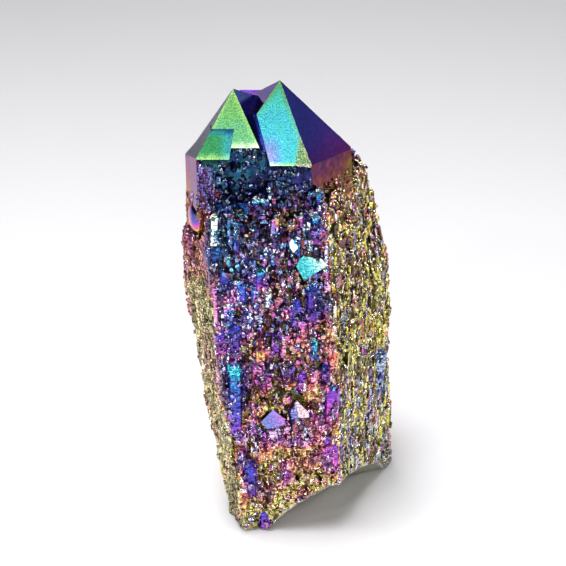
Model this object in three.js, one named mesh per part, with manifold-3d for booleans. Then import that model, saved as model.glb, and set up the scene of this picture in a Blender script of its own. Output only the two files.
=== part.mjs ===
// Aura quartz crystal: one quartz point grown as a bundle of parallel crystals, metal-coated all over,
// broken off at the bottom. Millimetres, +Z up, origin at the centre of the base on the surface it stands on.
//
// It is one solid: three large terminations and a few hundred smaller crystals, all grown together with
// their long axes nearly parallel, joined into a single closed body and cut by the break at the bottom.

import * as THREE from 'three';
import { ConvexGeometry } from 'three/addons/geometries/ConvexGeometry.js';
import { mergeVertices } from 'three/addons/utils/BufferGeometryUtils.js';
import Module from 'manifold-3d';

// ---------------------------------------------------------------- driving dimensions (mm, degrees)
const RHOMB = 38.2;          // elevation of a quartz rhombohedral face's normal
const SEED = 20417;
const CORE_INSET = 0.95;     // how far the plain core lies under the druse's surface
const COLUMN_PITCH = 3.6;    // spacing of the crystal columns round the girth
const STEP_MIN = 11.0, STEP_MAX = 18.0;   // spacing of the tips up a column
const HEART_TOP = [76.0, 77.4, 77.0, 78.5, 78.5, 76.6];
const CHIP_RADIUS = 40.0;    // conchoidal scar at the front right of the base
const CHIP_DEPTH = 1.9;
const APEX = { right: [-0.52, -8.0, 96.1], left: [-8.7, -8.5, 94.7], back: [-5.1, 1.5, 88.2] };

// Outline of the druse, as six corners at each height: front left, front right, right, back right, back left, left.
const SECTIONS = [
  { z: 0.0,  p: [[-7.3, -19.1], [11.2, -19.1], [21.9, 1.3], [15.7, 11.6], [-3.0, 11.6], [-9.4, -13.6]] },
  { z: 25.0, p: [[-9.9, -19.1], [10.5, -19.1], [20.9, 1.2], [14.7, 12.0], [-4.9, 12.0], [-13.7, -11.4]] },
  { z: 46.0, p: [[-11.9, -18.9], [9.4, -18.9], [20.1, 1.1], [13.9, 12.2], [-6.3, 12.2], [-16.9, -9.8]] },
  { z: 58.0, p: [[-12.6, -18.7], [8.6, -18.7], [19.5, 1.0], [13.2, 12.0], [-7.0, 12.0], [-18.0, -9.2]] },
  { z: 67.0, p: [[-12.8, -18.5], [7.9, -18.5], [18.1, 0.2], [11.6, 10.6], [-7.9, 10.8], [-17.7, -8.8]] },
  { z: 75.0, p: [[-12.9, -18.2], [7.3, -18.2], [15.7, -2.0], [9.6, 8.0], [-8.8, 8.8], [-16.6, -8.8]] },
  { z: 81.0, p: [[-13.0, -17.8], [6.9, -17.8], [13.0, -6.4], [7.2, 4.6], [-9.2, 6.0], [-16.0, -9.6]] },
];
const FACE_AZ = [0, 62, 121, 180, -122, -60];   // azimuth of the prism faces, front face first

// Crystals that stand out on the front: x, z, how proud of the wall, radius, length, lean outward, spin, broken corner.
const FRONT = [
  [6.2, 81.3, 0.30, 0.95, 5, 4, 4, 0], [4.8, 66.9, 0.75, 3.0, 11, 1, 0, 1.2], [2.6, 71.2, 0.45, 0.95, 5, 2, -6, 0],
  [-4.1, 64.2, 0.40, 1.0, 5, 2, 20, 0], [-12.0, 69.6, 0.45, 1.4, 8, 5, 0, 0], [-10.6, 65.0, 0.45, 1.5, 7, 5, 8, 0],
  [-9.3, 43.2, 0.70, 2.7, 19, 2, 2, 0], [-1.9, 31.0, 0.75, 2.7, 9, 7, -4, 0], [2.1, 33.4, 0.65, 1.7, 9, 5, 14, 0],
  [8.0, 43.0, 0.40, 1.5, 7, 5, 0, 0], [9.0, 37.8, 0.50, 1.8, 12, 3, 6, 0], [-3.1, 40.2, 0.35, 1.5, 6, 6, -8, 0],
  [9.2, 25.0, 0.50, 2.0, 10, 3, 0, 0], [0.8, 17.6, 0.35, 1.5, 7, 6, 5, 0], [-6.2, 18.6, 0.40, 2.0, 9, 4, -3, 0],
  [-3.6, 5.2, 0.40, 1.4, 5, 4, 0, 0], [-9.8, 55.6, 0.35, 1.1, 5, 5, 2, 0], [-8.8, 51.8, 0.45, 1.5, 8, 4, 2, 0],
  [2.5, 57.0, 0.35, 1.2, 6, 5, 0, 0], [5.5, 61.2, 0.45, 1.2, 5, 2, 10, 0], [5.9, 76.2, 0.35, 1.2, 5, 3, -5, 0],
[-8.3, 72.8, 0.40, 1.2, 6, 2, 0, 0],
];

// Other crystals that stand out: tip (x, y, z), radius, length, lean, spin, azimuth they lean to.
const OTHERS = [
  { at: [-14.4, -12.9, 75.0], r: 1.7, len: 9, lean: 6, spin: 12, side: -60 },
  { at: [-16.2, -10.8, 68.3], r: 1.8, len: 9, lean: 6, spin: -10, side: -60 },
  { at: [18.6, -2.6, 33.0], r: 2.2, len: 18, lean: 3, spin: 0, side: 62 },
  { at: [19.8, 2.6, 21.5], r: 1.6, len: 12, lean: 3, spin: 0, side: 62 },
];

// ---------------------------------------------------------------- small maths
const rad = (d) => d * Math.PI / 180;
const dir = (az, el = 0) => [Math.sin(rad(az)) * Math.cos(rad(el)), -Math.cos(rad(az)) * Math.cos(rad(el)), Math.sin(rad(el))];
const dot = (a, b) => a[0] * b[0] + a[1] * b[1] + a[2] * b[2];
const through = (n, p) => [n[0], n[1], n[2], dot(n, p)];
const lerp = (a, b, t) => a + (b - a) * t;

function random(seed) {
  let a = seed | 0;
  return () => {
    a = (a + 0x6D2B79F5) | 0;
    let t = Math.imul(a ^ (a >>> 15), 1 | a);
    t = (t + Math.imul(t ^ (t >>> 7), 61 | t)) ^ t;
    return ((t ^ (t >>> 14)) >>> 0) / 4294967296;
  };
}

// The convex body on the inner side of every plane [nx, ny, nz, d], n.p <= d.
function bodyOf(planes) {
  const found = [];
  for (let i = 0; i < planes.length; i++)
    for (let j = i + 1; j < planes.length; j++)
      for (let k = j + 1; k < planes.length; k++) {
        const m = new THREE.Matrix3().set(...planes[i].slice(0, 3), ...planes[j].slice(0, 3), ...planes[k].slice(0, 3));
        if (Math.abs(m.determinant()) < 1e-6) continue;
        const p = new THREE.Vector3(planes[i][3], planes[j][3], planes[k][3]).applyMatrix3(m.invert());
        if (planes.every((q) => q[0] * p.x + q[1] * p.y + q[2] * p.z <= q[3] + 1e-6)
          && found.every((f) => f.distanceTo(p) > 1e-4)) found.push(p);
      }
  return new ConvexGeometry(found);
}

// ---------------------------------------------------------------- crystals
// A six-sided quartz prism with its tip at `at`, its axis leaning outward from the body.
function crystal({ at, r, len, lean, spin, side, cut = 0 }, rnd) {
  const planes = [];
  for (let k = 0; k < 6; k++) {
    const az = k * 60 + spin;
    const grow = 1 + (rnd() - 0.5) * 0.34;
    const rise = (k % 2 ? 0.10 + 0.30 * rnd() : 0.06 * rnd()) * r;
    planes.push([...dir(az), r * 0.866 * grow]);
    planes.push([...dir(az, RHOMB), rise]);
  }
  planes.push([0, 0, -1, len]);
  if (cut) planes.push([...dir(150, 62), -cut * 0.6]);
  const out = dir(side);
  const g = bodyOf(planes);
  const axis = new THREE.Vector3(out[1], -out[0], 0).multiplyScalar(-1).normalize();
  g.applyMatrix4(new THREE.Matrix4().makeRotationAxis(axis, rad(lean)));
  g.translate(...at);
  return g;
}

function outline(z) {
  let i = 0;
  while (i < SECTIONS.length - 2 && z > SECTIONS[i + 1].z) i++;
  const a = SECTIONS[i], b = SECTIONS[i + 1];
  const t = (z - a.z) / (b.z - a.z);
  return a.p.map((q, k) => [lerp(q[0], b.p[k][0], t), lerp(q[1], b.p[k][1], t)]);
}

// The front's crystals: each tip lies back from the wall so that its front face stands only a little proud.
function front() {
  return FRONT.map(([x, z, stand, r, len, lean, spin, cut]) => {
    let y = -19, zz = z;
    for (let i = 0; i < 4; i++) {
      y = outline(zz)[0][1] + r * 0.866 - stand;
      zz = z - Math.tan(rad(37)) * (y + 19);
    }
    return { at: [x, y, zz], r, len, lean, spin, side: 0, cut };
  });
}

// Columns of crystals up each side of the bundle.
function columns(rnd) {
  const all = [];
  for (let side = 0; side < 6; side++) {
    const mid = outline(50);
    const width = Math.hypot(mid[(side + 1) % 6][0] - mid[side][0], mid[(side + 1) % 6][1] - mid[side][1]);
    const n = Math.max(2, Math.round(width / COLUMN_PITCH));
    for (let c = 0; c < n; c++) {
      const s = (c + 0.5 + (rnd() - 0.5) * 0.5) / n;
      let z = 5 + rnd() * STEP_MIN;
      const top = side === 0 ? 77.5 : 76.5;
      while (z < top) {
        const p = outline(z);
        const a = p[side], b = p[(side + 1) % 6];
        const r = 1.35 + 1.25 * rnd() * rnd() + 0.35 * rnd();
        const out = dir(FACE_AZ[side]);
        const stand = 0.05 + 0.55 * rnd();
        const depth = r * 0.866 - stand;
        const q = s + (rnd() - 0.5) * 0.25 / n;
        all.push({
          at: [lerp(a[0], b[0], q) - out[0] * depth, lerp(a[1], b[1], q) - out[1] * depth, z],
          r, len: Math.min(STEP_MAX + 3 * rnd(), z + 6), lean: 2.0 + 3.5 * rnd(),
          spin: (rnd() - 0.5) * 12, side: FACE_AZ[side] + (rnd() - 0.5) * 20,
        });
        z += lerp(STEP_MIN, STEP_MAX, rnd());
      }
    }
  }
  return all;
}

// ---------------------------------------------------------------- the three large terminations
function terminations() {
  const { right: A, left: B, back: C } = APEX;
  const prism = (az, dist, p) => { const n = dir(az); return [...n, dot(n, p) + dist]; };
  const floor = [0, 0, -1, -73.5];
  const shoulder = [-17.1, -12.2, 83.2];
  const right = bodyOf([
    through(dir(0, RHOMB), A), through(dir(60, RHOMB), A), through(dir(-90, 41.1), A),
    through(dir(120, RHOMB), A), through(dir(180, RHOMB), A),
    prism(0, 9.2, A), through(dir(51.5, 5), [4.79, -17.2, 84.41]), through(dir(84, 4), [12.7, -7.4, 81.8]),
    prism(120, 10.8, A), prism(180, 11.8, A), prism(-120, 8.5, A), through(dir(-67), [-4.58, -11.63, 91.48]),
    through(dir(6.5, 37.2), [2.72, -14.58, 87.74]),
    floor,
  ]);
  const left = bodyOf([
    through(dir(0, RHOMB), B), through(dir(60, 41.5), B), through(dir(-84, 37), B), through(dir(-120, 25), B),
    through(dir(180, 38), B),
    prism(0, 6.4, B), through(dir(-62), shoulder), through(dir(-106), shoulder), prism(-120, 6.6, B), prism(180, 9.0, B), prism(90, 8.2, B),
    floor,
  ]);
  // A step of growth on the left tip's lower front.
  const n = dir(0, RHOMB), w = dir(-84, 37);
  const step = bodyOf([
    [...n, dot(n, B) + 0.42], [...w, dot(w, B) + 0.12],
    [0, 0, 1, 89.2], through(dir(83, -6), [-8.4, -12, 89]),
    prism(0, 8.0, B), [...dir(-66), dot(dir(-66), shoulder) - 0.12], prism(180, -3.2, B), [0, 0, -1, -74],
  ]);
  const back = bodyOf([
    through(dir(0, RHOMB), C), through(dir(180, RHOMB), C),
    through(dir(-95, 29), [-7.7, 1.5, 88.2]), through(dir(90, 33), [-2.4, 1.5, 88.2]),
    prism(180, 6.2, C), prism(-120, 6.4, C), prism(120, 7.4, C), prism(-60, 8, C), prism(60, 6, C),
    floor,
  ]);
  return [right, left, step, back];
}

// The plain heart of the bundle, under the druse. Its top slopes down to the front left.
function heart() {
  const pts = [];
  for (const s of SECTIONS) {
    const cx = s.p.reduce((t, q) => t + q[0], 0) / 6, cy = s.p.reduce((t, q) => t + q[1], 0) / 6;
    for (const q of s.p) {
      const d = Math.hypot(q[0] - cx, q[1] - cy), k = (d - CORE_INSET * 1.15) / d;
      const z = s.z === 0 ? -4 : s === SECTIONS.at(-1) ? HEART_TOP[s.p.indexOf(q)] : s.z;
      pts.push(new THREE.Vector3(cx + (q[0] - cx) * k, cy + (q[1] - cy) * k, z));
    }
  }
  return new ConvexGeometry(pts);
}

// ---------------------------------------------------------------- joining and cutting
const wasm = await Module();
wasm.setup();

function solid(geometry) {
  geometry.deleteAttribute('normal');
  geometry.deleteAttribute('uv');
  const g = mergeVertices(geometry, 1e-5);
  return new wasm.Manifold(new wasm.Mesh({
    numProp: 3,
    vertProperties: new Float32Array(g.attributes.position.array),
    triVerts: new Uint32Array(g.index.array),
  }));
}

function joined(list) {
  while (list.length > 1) {
    const next = [];
    for (let i = 0; i < list.length; i += 2) next.push(i + 1 < list.length ? list[i].add(list[i + 1]) : list[i]);
    list = next;
  }
  return list[0];
}

const rnd = random(SEED);
const pieces = [heart(), ...terminations(), ...[...front(), ...OTHERS].map((c) => crystal(c, rnd)), ...columns(rnd).map((c) => crystal(c, rnd))];
let body = joined(pieces.map(solid));

// The break: level underneath, with a shell-shaped scar at the front right.
const below = new THREE.BoxGeometry(120, 120, 60);
below.translate(0, 0, -30);
body = body.subtract(solid(below));

const scarN = new THREE.Vector3(-0.474, 0.594, 0.650).normalize();
const scarMid = new THREE.Vector3(9.3, -12.0, 3.9);
const scar = new THREE.IcosahedronGeometry(CHIP_RADIUS, 13);
scar.rotateX(0.31);
scar.rotateZ(0.17);
scar.translate(...scarMid.clone().addScaledVector(scarN, CHIP_DEPTH - CHIP_RADIUS).toArray());
body = body.subtract(solid(scar));

// Only the body itself: any splinter the cuts left loose is dropped.
const parts = body.decompose().sort((a, b) => b.volume() - a.volume());
const mesh = parts[0].getMesh();

const geometry = new THREE.BufferGeometry();
geometry.setAttribute('position', new THREE.BufferAttribute(new Float32Array(mesh.vertProperties), 3));
geometry.setIndex(new THREE.BufferAttribute(new Uint32Array(mesh.triVerts), 1));
geometry.computeBoundingBox();
const { min, max } = geometry.boundingBox;
geometry.translate(-(min.x + max.x) / 2, -(min.y + max.y) / 2, -min.z);
geometry.computeVertexNormals();

const quartz = new THREE.MeshStandardMaterial({ name: 'aura_quartz', color: 0x5b3f9a, roughness: 0.24, metalness: 0.9 });
const crystalMesh = new THREE.Mesh(geometry, quartz);
crystalMesh.name = 'aura_quartz_crystal';

const group = new THREE.Group();
group.add(crystalMesh);
export default group;
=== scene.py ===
# Aura quartz crystal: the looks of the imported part.
# Everything is worked out in millimetres in the drawing frame of the solid, and moved to the row frame in metres.
import math
import time

import bpy
import bmesh
import numpy as np
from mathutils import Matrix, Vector


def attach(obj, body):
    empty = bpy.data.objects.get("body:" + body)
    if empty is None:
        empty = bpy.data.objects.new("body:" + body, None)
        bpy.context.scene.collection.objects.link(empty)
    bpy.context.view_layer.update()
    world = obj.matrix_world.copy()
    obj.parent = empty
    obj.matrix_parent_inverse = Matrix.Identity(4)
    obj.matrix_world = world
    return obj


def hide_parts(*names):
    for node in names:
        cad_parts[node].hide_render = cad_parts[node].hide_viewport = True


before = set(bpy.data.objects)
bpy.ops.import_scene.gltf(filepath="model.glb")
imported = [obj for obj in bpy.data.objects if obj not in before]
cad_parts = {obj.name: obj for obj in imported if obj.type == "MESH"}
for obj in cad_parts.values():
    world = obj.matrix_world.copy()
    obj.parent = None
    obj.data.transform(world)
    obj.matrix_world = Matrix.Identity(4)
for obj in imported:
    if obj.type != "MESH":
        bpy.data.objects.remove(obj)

T0 = time.time()
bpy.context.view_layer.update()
NODE = "aura_quartz_crystal"
MM = 0.001
RHOMB = 38.2                                        # elevation of a rhombohedral face's normal
APEX_R, APEX_L, APEX_B = (-0.52, -8.0, 96.1), (-8.7, -8.5, 94.7), (-5.1, 1.5, 88.2)
SHIFT = np.array([-1.65841, 3.47869, 0.0])          # drawing frame to row frame
rng = np.random.default_rng(20417)


def log(*a):
    print("[scene %.1fs]" % (time.time() - T0), *a, flush=True)


# ------------------------------------------------------------------ camera
def view_dir(az, el):
    a, e = math.radians(az), math.radians(el)
    return Vector((math.sin(a) * math.cos(e), -math.cos(a) * math.cos(e), math.sin(e)))


TARGET = Vector((SHIFT[0], SHIFT[1], 46.0)) * MM
cam_data = bpy.data.cameras.new("camera")
cam_data.angle = 2 * math.atan(283 / (5.26 * 420))
cam_data.clip_start = 0.01
cam_data.clip_end = 50
camera = bpy.data.objects.new("camera", cam_data)
bpy.context.scene.collection.objects.link(camera)
camera.location = TARGET + view_dir(0, 37) * 0.420
camera.rotation_euler = (-view_dir(0, 37)).to_track_quat("-Z", "Y").to_euler()
bpy.context.scene.camera = camera


# ------------------------------------------------------------------ small maths
def direction(az, el=0.0):
    a, e = np.radians(az), np.radians(el)
    return np.stack([np.sin(a) * np.cos(e), -np.cos(a) * np.cos(e), np.sin(e) + 0 * a], -1)


def through(n, p, out=0.0):
    return np.append(n, float(np.dot(n, p)) + out)


def smooth(x, a, b):
    t = np.clip((x - a) / (b - a), 0, 1)
    return t * t * (3 - 2 * t)


def lattice(i, j, k, seed):
    h = (i * 374761393 + j * 668265263 + k * 2147483647 + seed * 1274126177) & 0xFFFFFFFF
    h = ((h ^ (h >> 13)) * 1274126177) & 0xFFFFFFFF
    h = ((h ^ (h >> 16)) * 2246822519) & 0xFFFFFFFF
    return ((h ^ (h >> 15)) & 0xFFFFFF) / float(0xFFFFFF) * 2 - 1


def noise(p, size, seed, stretch=(1, 1, 1)):
    """Value noise in -1..1, with features about `size` mm across."""
    q = np.asarray(p, float) / (np.asarray(stretch, float) * size) + 1000.0
    b = np.floor(q).astype(np.int64)
    f = q - b
    f = f * f * (3 - 2 * f)
    out = 0
    for dx in (0, 1):
        for dy in (0, 1):
            for dz in (0, 1):
                w = (f[:, 0] if dx else 1 - f[:, 0]) * (f[:, 1] if dy else 1 - f[:, 1]) * (f[:, 2] if dz else 1 - f[:, 2])
                out = out + w * lattice(b[:, 0] + dx, b[:, 1] + dy, b[:, 2] + dz, seed)
    return out


# ------------------------------------------------------------------ the druse's outline
SEC_Z = np.array([0.0, 25.0, 46.0, 58.0, 67.0, 75.0, 81.0])
SEC_P = np.array([
    [[-7.3, -19.1], [11.2, -19.1], [21.9, 1.3], [15.7, 11.6], [-3.0, 11.6], [-9.4, -13.6]],
    [[-9.9, -19.1], [10.5, -19.1], [20.9, 1.2], [14.7, 12.0], [-4.9, 12.0], [-13.7, -11.4]],
    [[-11.9, -18.9], [9.4, -18.9], [20.1, 1.1], [13.9, 12.2], [-6.3, 12.2], [-16.9, -9.8]],
    [[-12.6, -18.7], [8.6, -18.7], [19.5, 1.0], [13.2, 12.0], [-7.0, 12.0], [-18.0, -9.2]],
    [[-12.8, -18.5], [7.9, -18.5], [18.1, 0.2], [11.6, 10.6], [-7.9, 10.8], [-17.7, -8.8]],
    [[-12.9, -18.2], [7.3, -18.2], [15.7, -2.0], [9.6, 8.0], [-8.8, 8.8], [-16.6, -8.8]],
    [[-13.0, -17.8], [6.9, -17.8], [13.0, -6.4], [7.2, 4.6], [-9.2, 6.0], [-16.0, -9.6]],
])
FACE_AZ = np.array([0.0, 62.0, 121.0, 180.0, -122.0, -60.0])
HEART_TOP = [76.0, 77.4, 77.0, 78.5, 78.5, 76.6]


def outline(z):
    z = np.clip(np.atleast_1d(np.asarray(z, float)), 0, 81)
    out = np.empty((len(z), 6, 2))
    for k in range(6):
        for a in range(2):
            out[:, k, a] = np.interp(z, SEC_Z, SEC_P[:, k, a])
    return out


def on_wall(side, s, z):
    o = outline(z)
    i = np.arange(len(o))
    a, b = o[i, side], o[i, (side + 1) % 6]
    p = a + (b - a) * s[:, None]
    d = (b - a) / np.linalg.norm(b - a, axis=1)[:, None]
    return p, np.stack([d[:, 1], -d[:, 0]], 1)


def wall_of(p):
    """For points: the side they lie on, how far along it (0..1) and how far outside its plane."""
    o = outline(p[:, 2])
    a, b = o, np.roll(o, -1, axis=1)
    d = b - a
    ln = np.linalg.norm(d, axis=2)
    d = d / ln[:, :, None]
    q = p[:, None, :2] - a
    off = q[:, :, 0] * d[:, :, 1] - q[:, :, 1] * d[:, :, 0]
    along = (q * d).sum(2) / ln
    side = off.argmax(1)
    i = np.arange(len(p))
    return side, along[i, side], off[i, side]


# ------------------------------------------------------------------ crystals as polyhedra
COMBOS = {}


def vertices_of(planes):
    """planes (N, m, 4) -> corners (N, c, 3) and which are real, for many bodies at once."""
    N, m, _ = planes.shape
    if m not in COMBOS:
        COMBOS[m] = np.array([(i, j, k) for i in range(m) for j in range(i + 1, m) for k in range(j + 1, m)])
    idx = COMBOS[m]
    X = np.empty((N, len(idx), 3))
    ok = np.zeros((N, len(idx)), bool)
    for s in range(0, N, 400):
        A = planes[s:s + 400][:, idx]
        n0, n1, n2 = A[:, :, 0, :3], A[:, :, 1, :3], A[:, :, 2, :3]
        c12, c20, c01 = np.cross(n1, n2), np.cross(n2, n0), np.cross(n0, n1)
        det = (n0 * c12).sum(2)
        good = np.abs(det) > 1e-5
        det = np.where(good, det, 1)
        x = (A[:, :, 0, 3:] * c12 + A[:, :, 1, 3:] * c20 + A[:, :, 2, 3:] * c01) / det[:, :, None]
        inside = (np.einsum("nck,nmk->ncm", x, planes[s:s + 400, :, :3]) <= planes[s:s + 400, None, :, 3] + 1e-6).all(2)
        X[s:s + 400] = x
        ok[s:s + 400] = inside & good
    return X, ok


def closed(faces):
    """Whether each edge is used once in each direction."""
    seen = set()
    for _, f in faces:
        for a, b in zip(f, f[1:] + f[:1]):
            if (a, b) in seen:
                return False
            seen.add((a, b))
    return len(faces) > 3 and all((b, a) in seen for a, b in seen)


def bodies(planes):
    """A list of (vertices, [(plane number, polygon)]) for many convex bodies, None for one that can't be made."""
    X, ok = vertices_of(planes)
    idx = COMBOS[planes.shape[1]]
    out = []
    for n in range(len(planes)):
        x, who = X[n][ok[n]], idx[ok[n]]
        first = (np.abs(x[:, None] - x[None]).max(2) < 1e-4).argmax(1)
        kept, label = np.unique(first, return_inverse=True)
        V = x[kept]
        on = np.zeros((len(V), planes.shape[1]), bool)
        for c in range(3):
            on[label, who[:, c]] = True
        faces = []
        for j in np.where(on.sum(0) > 2)[0]:
            m = np.where(on[:, j])[0]
            q = planes[n, j, :3]
            c = V[m].mean(0)
            u = np.cross(q, [0.31, 0.52, 0.79])
            w = np.cross(q, u)
            a = np.arctan2((V[m] - c) @ w, (V[m] - c) @ u)
            faces.append((int(j), m[np.argsort(a)].tolist()))
        out.append((V, faces) if closed(faces) else None)
    return out


def lean_matrix(side, lean):
    """Turns +Z towards the horizontal direction `side` by `lean` degrees."""
    side, lean = np.atleast_1d(side).astype(float), np.radians(np.atleast_1d(lean).astype(float))
    o = direction(side)
    ax = np.stack([-o[:, 1], o[:, 0], 0 * lean], 1)
    K = np.zeros((len(lean), 3, 3))
    K[:, 0, 1], K[:, 0, 2] = -ax[:, 2], ax[:, 1]
    K[:, 1, 0], K[:, 1, 2] = ax[:, 2], -ax[:, 0]
    K[:, 2, 0], K[:, 2, 1] = -ax[:, 1], ax[:, 0]
    I = np.eye(3)[None]
    return I + np.sin(lean)[:, None, None] * K + (1 - np.cos(lean))[:, None, None] * (K @ K)


def quartz_planes(r, length, spin, grow, rise, cut):
    """Six prism faces, six rhombohedral faces, the bottom and a broken corner, in the crystal's own frame."""
    N = len(r)
    P = np.zeros((N, 14, 4))
    for k in range(6):
        az = k * 60 + spin
        P[:, k, :3] = direction(az)
        P[:, k, 3] = r * 0.866 * grow[:, k]
        P[:, 6 + k, :3] = direction(az, RHOMB)
        P[:, 6 + k, 3] = rise[:, k] * r
    P[:, 12, 2] = -1
    P[:, 12, 3] = length
    P[:, 13, :3] = direction(150.0, 62.0)
    P[:, 13, 3] = np.where(cut > 0, -0.6 * cut, 50)
    return P


# ------------------------------------------------------------------ the large terminations
def terminations():
    A, B, C = (np.array(p) for p in (APEX_R, APEX_L, APEX_B))

    def prism(az, dist, p):
        n = direction(az)
        return np.append(n, n @ p + dist)

    floor = [0, 0, -1, -73.5]
    shoulder = np.array([-17.1, -12.2, 83.2])
    right = [
        through(direction(0, RHOMB), A), through(direction(60, RHOMB), A), through(direction(-90, 41.1), A),
        through(direction(120, RHOMB), A), through(direction(180, RHOMB), A),
        prism(0, 9.2, A), through(direction(51.5, 5), [4.79, -17.2, 84.41]), through(direction(84, 4), [12.7, -7.4, 81.8]),
        prism(120, 10.8, A), prism(180, 11.8, A), prism(-120, 8.5, A), through(direction(-67), [-4.58, -11.63, 91.48]),
        through(direction(6.5, 37.2), [2.72, -14.58, 87.74]),
        floor,
    ]
    left = [
        through(direction(0, RHOMB), B), through(direction(60, 41.5), B), through(direction(-84, 37), B),
        through(direction(-120, 25), B), through(direction(180, 38), B),
        prism(0, 6.4, B), through(direction(-62), shoulder), through(direction(-106), shoulder), prism(-120, 6.6, B),
        prism(180, 9.0, B), prism(90, 8.2, B), floor,
    ]
    step = [
        through(direction(0, RHOMB), B, 0.42), through(direction(-84, 37), B, 0.12),
        [0, 0, 1, 89.2], through(direction(83, -6), [-8.4, -12, 89]),
        prism(0, 8.0, B), through(direction(-66), shoulder, -0.12), prism(180, -3.2, B), [0, 0, -1, -74],
    ]
    back = [
        through(direction(0, RHOMB), C), through(direction(180, RHOMB), C),
        through(direction(-95, 29), [-7.7, 1.5, 88.2]), through(direction(90, 33), [-2.4, 1.5, 88.2]),
        prism(180, 6.2, C), prism(-120, 6.4, C), prism(120, 7.4, C), prism(-60, 8, C), prism(60, 6, C), floor,
    ]
    out = []
    for planes in (right, left, step, back):
        P = np.array([list(map(float, q)) for q in planes])
        out.append(bodies(P[None])[0] + (P,))
    return out


def heart():
    """The plain body under the druse, as a hull."""
    pts = []
    for i, z in enumerate(SEC_Z):
        c = SEC_P[i].mean(0)
        for k in range(6):
            q = SEC_P[i][k]
            d = np.linalg.norm(q - c)
            zz = -4 if i == 0 else HEART_TOP[k] if i == len(SEC_Z) - 1 else z
            pts.append([*(c + (q - c) * (d - 1.15) / d), zz])
    bm = bmesh.new()
    for p in pts:
        bm.verts.new(p)
    got = bmesh.ops.convex_hull(bm, input=bm.verts)
    dead = [v for v in bm.verts if not v.link_faces]
    bmesh.ops.delete(bm, geom=dead, context="VERTS")
    bm.verts.ensure_lookup_table()
    bmesh.ops.recalc_face_normals(bm, faces=bm.faces)
    V = np.array([v.co[:] for v in bm.verts])
    index = {v: i for i, v in enumerate(bm.verts)}
    faces = [(0, [index[v] for v in f.verts]) for f in bm.faces]
    bm.free()
    return V, faces


# ------------------------------------------------------------------ crystals that stand out
# x and z where the tip shows on the wall, how proud it stands, radius, length, lean, spin, broken corner,
# film at the tip, film lost per mm, paleness. The front ones first.
FRONT = np.array([
    [6.2, 81.3, 0.30, 0.95, 5, 4, 4, 0, 0.80, 0.10, 0.9],
    [5.4, 62.2, 0.35, 2.3, 9, 1, 14, 0, 0.64, 0.020, 0.0],
    [2.6, 71.2, 0.45, 0.95, 5, 2, -6, 0, 0.82, 0.05, 1.0],
    [-4.1, 64.2, 0.40, 1.0, 5, 2, 20, 0, 0.79, 0.10, 0.3],
    [-12.0, 69.6, 0.45, 1.4, 8, 5, 0, 0, 0.68, 0.015, 0.1],
    [-10.6, 65.0, 0.45, 1.5, 7, 5, 8, 0, 0.66, 0.03, 0.0],
    [-9.0, 43.6, 0.70, 2.5, 19, 2, 2, 0, 0.68, 0.010, 0.0],
    [-1.4, 29.6, 0.10, 2.3, 11, 5, -4, 0, 0.50, 0.012, 0.0],
    [2.5, 32.9, 0.60, 1.7, 11, 6, 27, 0, 0.62, 0.020, 0.1],
    [8.0, 43.0, 0.40, 1.5, 7, 5, 0, 0, 0.66, 0.05, 0.0],
    [9.0, 37.8, 0.50, 1.8, 12, 3, 6, 0, 0.53, 0.015, 0.0],
    [-3.1, 40.2, 0.35, 1.5, 6, 6, -8, 0, 0.46, 0.02, 0.0],
    [9.2, 25.0, 0.50, 2.0, 10, 3, 0, 0, 0.50, 0.010, 0.0],
    [0.8, 17.6, 0.35, 1.5, 7, 6, 5, 0, 0.50, 0.012, 0.0],
    [-6.2, 18.6, 0.40, 2.0, 9, 4, -3, 0, 0.60, 0.012, 0.0],
    [-3.6, 5.2, 0.40, 1.4, 5, 4, 0, 0, 0.55, 0.02, 0.0],
    [-9.8, 55.6, 0.35, 1.1, 5, 5, 2, 0, 0.76, 0.05, 0.1],
    [-8.8, 51.8, 0.45, 1.5, 8, 4, 2, 0, 0.60, 0.015, 0.0],
    [-11.3, 50.0, 0.40, 1.2, 7, 4, 8, 0, 0.53, 0.02, 0.0],
    [2.5, 57.0, 0.35, 1.2, 6, 5, 0, 0, 0.63, 0.03, 0.0],
    [5.5, 61.2, 0.45, 1.2, 5, 2, 10, 0, 0.72, 0.05, 0.4],
    [5.9, 76.2, 0.35, 1.2, 5, 3, -5, 0, 0.78, 0.08, 0.6],
    [-4.9, 79.4, 0.30, 1.0, 5, 3, 6, 0, 0.80, 0.15, 0.8],
    [-3.4, 79.0, 0.30, 0.8, 5, 3, -10, 0, 0.80, 0.15, 0.8],
    [-8.3, 72.8, 0.40, 1.2, 6, 2, 0, 0, 0.76, 0.08, 0.5],
    [3.6, 40.2, 0.35, 1.0, 5, 5, 0, 0, 0.52, 0.02, 0.0],
    [5.6, 48.2, 0.40, 0.9, 5, 3, 12, 0, 0.80, 0.04, 0.6],
    [-1.2, 50.2, 0.35, 1.2, 5, 5, -12, 0, 0.53, 0.02, 0.0],
    [-7.4, 61.0, 0.35, 1.0, 5, 4, -12, 0, 0.70, 0.03, 0.1],
    [-5.4, 60.4, 0.35, 1.0, 5, 4, 9, 0, 0.72, 0.03, 0.1],
])
SIDE = np.array([
    [18.4, -2.6, 33.0, 1.9, 12, 3, 8, 62, 0, 0.20, 0.0, 0.0],
    [19.4, 2.2, 21.5, 1.5, 12, 3, 0, 62, 0, 0.70, 0.01, 0.6],
])


def features():
    """The same crystals as x, y, z of the tip, radius, length, lean, spin, lean's azimuth, broken corner and film."""
    rows = []
    for x, z, stand, r, ln, lean, spin, cut, *film in FRONT:
        zz = z
        for _ in range(4):
            wall = float(outline(zz)[0, 0, 1])
            y = wall + r * 0.866 - stand
            zz = z - math.tan(math.radians(37)) * (y + 19.0)
        rows.append([x, y, zz, r, ln, lean, spin, 0, cut, *film])
    return np.array(rows + SIDE.tolist())


FEATURES = features()

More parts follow.
